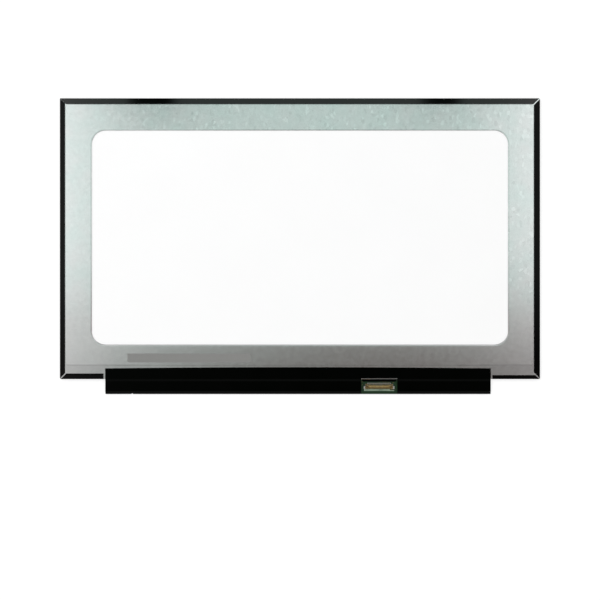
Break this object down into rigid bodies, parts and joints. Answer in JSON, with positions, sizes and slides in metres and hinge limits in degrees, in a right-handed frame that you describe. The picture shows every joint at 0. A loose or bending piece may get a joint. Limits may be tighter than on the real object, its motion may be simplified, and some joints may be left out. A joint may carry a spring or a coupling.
{
  "type": "laptop screen panel",
  "caption": "Flat edge-lit display module for a laptop lid, with a windowed metal back cover, black edge tape and a drive board with a flat cable connector along its bottom edge.",
  "frame": {"origin": "middle of the panel's outline, at the outer face of the front polarizer, on which the panel lies face down", "axes": "+X to the right seen from the back, +Y to the top edge of the picture, +Z out of the back"},
  "size_m": [0.3506, 0.2162, 0.0029],
  "materials": {
    "cover_steel": "rolled zinc-coated sheet, fine flecks, bare",
    "cell_glass": "display glass with the dark layers behind it",
    "polarizer": "dark film with an anti-glare face",
    "reflector_white": "white foamed polyester film",
    "optical_film": "clear and matt optical films",
    "light_guide_acrylic": "clear moulded acrylic",
    "frame_plastic": "black moulded polycarbonate",
    "edge_tape": "black polyester tape, satin",
    "board_film": "black insulating film, satin",
    "foam_tape": "thin black foam tape",
    "shield_tape": "black shielding tape",
    "adhesive_tape": "thin heat-conducting adhesive",
    "led_package": "white package with a yellow phosphor face",
    "flex_circuit": "white coated polyimide strip",
    "driver_film": "amber polyimide film with fine copper lines",
    "silicon": "bare silicon chip",
    "board_laminate": "glass-fibre laminate with green mask",
    "chip_moulding": "black moulding compound",
    "ferrite": "moulded ferrite",
    "chip_ceramic": "tan ceramic with tinned ends",
    "resistor_ceramic": "black glazed ceramic with tinned ends",
    "gold_plate": "gold-plated copper alloy",
    "housing_plastic": "dark grey liquid crystal polymer"
  },
  "bodies": {
    "root": {"front_polarizer": "polarizer", "colour_filter_glass": "cell_glass", "array_glass": "cell_glass", "rear_polarizer": "polarizer", "cell_tape": "foam_tape", "mold_frame": "frame_plastic", "upper_prism_sheet": "optical_film", "lower_prism_sheet": "optical_film", "diffuser_sheet": "optical_film", "light_guide_plate": "light_guide_acrylic", "reflector_sheet": "reflector_white", "leds": "led_package", "led_flex": "flex_circuit", "led_bar_tape": "adhesive_tape", "back_cover": "cover_steel", "tape_top": "edge_tape", "tape_left": "edge_tape", "tape_right": "edge_tape", "tape_bottom_left": "edge_tape", "tape_bottom_right": "edge_tape", "driver_films": "driver_film", "driver_chips": "silicon", "front_shield_tape": "shield_tape", "control_board": "board_laminate", "timing_controller": "chip_moulding", "power_chip": "chip_moulding", "led_driver_chip": "chip_moulding", "flash_chip": "chip_moulding", "inductors": "ferrite", "capacitors": "chip_ceramic", "resistors": "resistor_ceramic", "connector_shell": "gold_plate", "connector_housing": "housing_plastic", "connector_contacts": "gold_plate", "board_cover_film": "board_film", "connector_tape": "board_film"}
  },
  "joints": []
}
